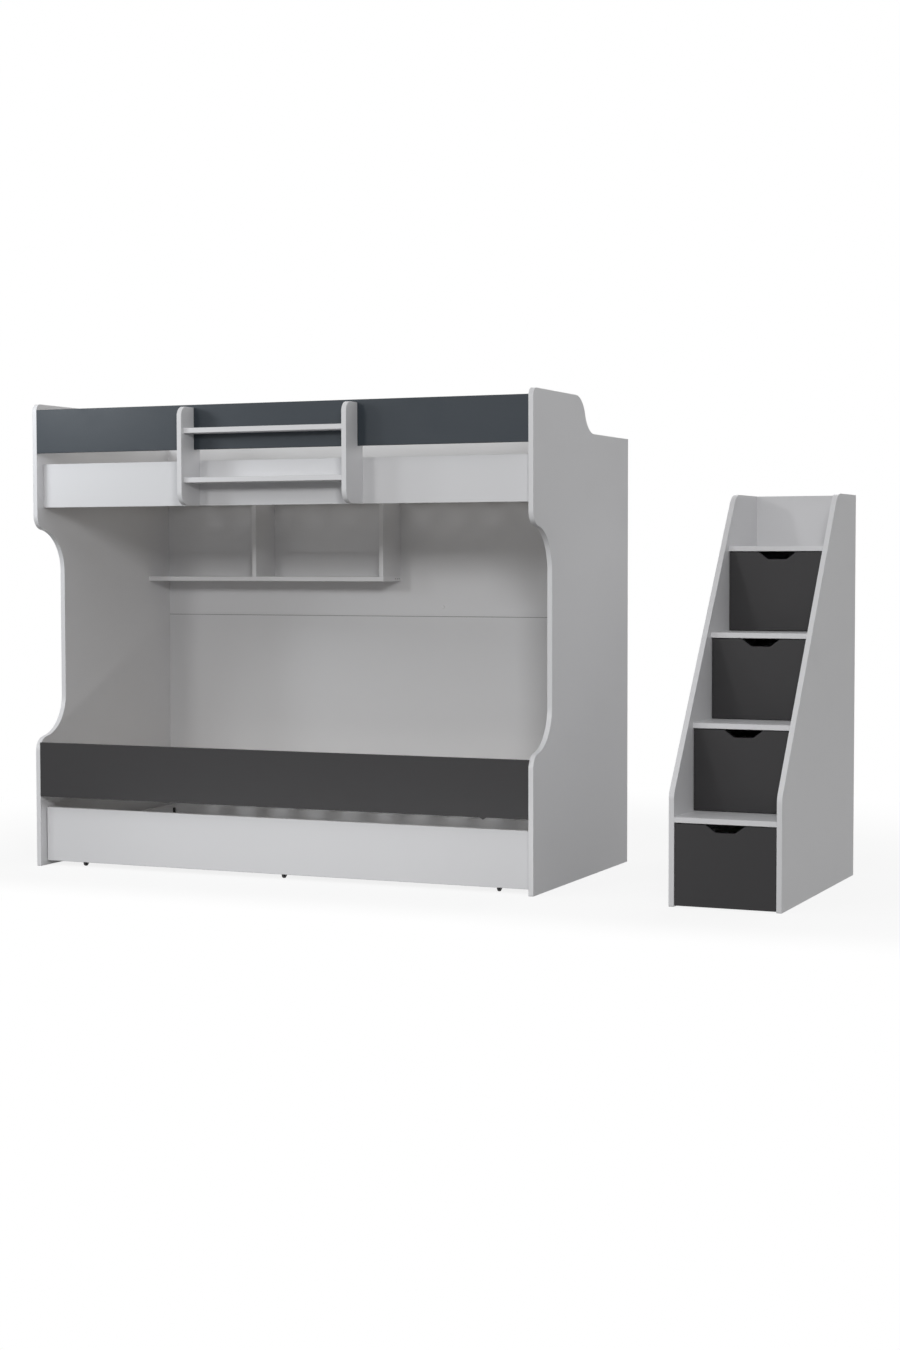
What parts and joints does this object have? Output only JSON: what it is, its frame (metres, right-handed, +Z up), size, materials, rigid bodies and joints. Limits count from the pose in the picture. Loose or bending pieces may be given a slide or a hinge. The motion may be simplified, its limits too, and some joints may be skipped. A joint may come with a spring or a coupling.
{
  "type": "bunk bed with storage stairs",
  "caption": "Flat-pack bunk bed with curved end panels, front rack, wall shelf and roll-out trundle, beside free-standing stairs with drawers under the treads.",
  "frame": {"origin": "on the floor, under the middle of the whole set of bed and stairs", "axes": "+X along the bed's length from its left end towards the stairs, +Y from the front to the back, +Z up"},
  "size_m": [2.811, 1.036, 1.686],
  "materials": {
    "melamine_white": "satin white melamine with a matching edge band",
    "melamine_anthracite": "satin anthracite melamine with a matching edge band",
    "drawer_board": "matt white foil board",
    "softwood": "planed pine",
    "caster_steel": "black coated sheet steel",
    "caster_wheel": "black nylon"
  },
  "bodies": {
    "bed": {"end_panel_left": "melamine_white", "end_panel_right": "melamine_white", "guard_board": "melamine_anthracite", "upper_front_rail": "melamine_white", "lower_front_rail": "melamine_anthracite", "rack_post_left": "melamine_white", "rack_post_right": "melamine_white", "rack_shelf_upper": "melamine_white", "rack_shelf_lower": "melamine_white", "back_board_upper": "melamine_white", "back_board_lower": "melamine_white", "wall_shelf": "melamine_white", "wall_divider_left": "melamine_white", "wall_divider_right": "melamine_white", "upper_bearer_front": "softwood", "upper_bearer_rear": "softwood", "lower_bearer_front": "softwood", "lower_bearer_rear": "softwood", "upper_slats": "softwood", "lower_slats": "softwood"},
    "trundle": {"trundle_front": "melamine_white", "trundle_side_left": "melamine_white", "trundle_side_right": "melamine_white", "trundle_rear": "melamine_white", "trundle_base": "melamine_white", "caster_forks": "caster_steel"},
    "stairs": {"stairs_side_left": "melamine_white", "stairs_side_right": "melamine_white", "stairs_back": "melamine_white", "tread_1": "melamine_white", "tread_2": "melamine_white", "tread_3": "melamine_white", "tread_4": "melamine_white", "drawer_runners": "softwood"},
    "wheel_front_left": {"wheel_front_left": "caster_wheel"},
    "wheel_front_middle": {"wheel_front_middle": "caster_wheel"},
    "wheel_front_right": {"wheel_front_right": "caster_wheel"},
    "wheel_rear_left": {"wheel_rear_left": "caster_wheel"},
    "wheel_rear_middle": {"wheel_rear_middle": "caster_wheel"},
    "wheel_rear_right": {"wheel_rear_right": "caster_wheel"},
    "drawer_1": {"drawer_1_front": "melamine_anthracite", "drawer_1_side_left": "drawer_board", "drawer_1_side_right": "drawer_board", "drawer_1_back": "drawer_board", "drawer_1_bottom": "drawer_board"},
    "drawer_2": {"drawer_2_front": "melamine_anthracite", "drawer_2_side_left": "drawer_board", "drawer_2_side_right": "drawer_board", "drawer_2_back": "drawer_board", "drawer_2_bottom": "drawer_board"},
    "drawer_3": {"drawer_3_front": "melamine_anthracite", "drawer_3_side_left": "drawer_board", "drawer_3_side_right": "drawer_board", "drawer_3_back": "drawer_board", "drawer_3_bottom": "drawer_board"},
    "drawer_4": {"drawer_4_front": "melamine_anthracite", "drawer_4_side_left": "drawer_board", "drawer_4_side_right": "drawer_board", "drawer_4_back": "drawer_board", "drawer_4_bottom": "drawer_board"}
  },
  "joints": [
    {"name": "trundle_slide", "type": "slide", "parent": "bed", "child": "trundle", "axis": [0, -1, 0], "range_m": [0, 0.85]},
    {"name": "stairs_slide", "type": "slide", "parent": "bed", "child": "stairs", "axis": [-1, 0, 0], "range_m": [0, 0.479]},
    {"name": "drawer_1_slide", "type": "slide", "parent": "stairs", "child": "drawer_1", "axis": [0, -1, 0], "range_m": [0, 0.38]},
    {"name": "drawer_2_slide", "type": "slide", "parent": "stairs", "child": "drawer_2", "axis": [0, -1, 0], "range_m": [0, 0.38]},
    {"name": "drawer_3_slide", "type": "slide", "parent": "stairs", "child": "drawer_3", "axis": [0, -1, 0], "range_m": [0, 0.34]},
    {"name": "drawer_4_slide", "type": "slide", "parent": "stairs", "child": "drawer_4", "axis": [0, -1, 0], "range_m": [0, 0.2]},
    {"name": "wheel_front_left_spin", "type": "hinge", "parent": "trundle", "child": "wheel_front_left", "pos_m": [-1.2385, -0.3615, 0.0125], "axis": [1, 0, 0], "continuous": true},
    {"name": "wheel_front_middle_spin", "type": "hinge", "parent": "trundle", "child": "wheel_front_middle", "pos_m": [-0.419, -0.3615, 0.0125], "axis": [1, 0, 0], "continuous": true},
    {"name": "wheel_front_right_spin", "type": "hinge", "parent": "trundle", "child": "wheel_front_right", "pos_m": [0.4005, -0.3615, 0.0125], "axis": [1, 0, 0], "continuous": true},
    {"name": "wheel_rear_left_spin", "type": "hinge", "parent": "trundle", "child": "wheel_rear_left", "pos_m": [-1.2385, 0.43, 0.0125], "axis": [1, 0, 0], "continuous": true},
    {"name": "wheel_rear_middle_spin", "type": "hinge", "parent": "trundle", "child": "wheel_rear_middle", "pos_m": [-0.419, 0.43, 0.0125], "axis": [1, 0, 0], "continuous": true},
    {"name": "wheel_rear_right_spin", "type": "hinge", "parent": "trundle", "child": "wheel_rear_right", "pos_m": [0.4005, 0.43, 0.0125], "axis": [1, 0, 0], "continuous": true}
  ],
  "couplings": [
    {"joint": "wheel_front_left_spin", "follows": "trundle_slide", "rad_per_m": 80},
    {"joint": "wheel_front_middle_spin", "follows": "trundle_slide", "rad_per_m": 80},
    {"joint": "wheel_front_right_spin", "follows": "trundle_slide", "rad_per_m": 80},
    {"joint": "wheel_rear_left_spin", "follows": "trundle_slide", "rad_per_m": 80},
    {"joint": "wheel_rear_middle_spin", "follows": "trundle_slide", "rad_per_m": 80},
    {"joint": "wheel_rear_right_spin", "follows": "trundle_slide", "rad_per_m": 80}
  ]
}
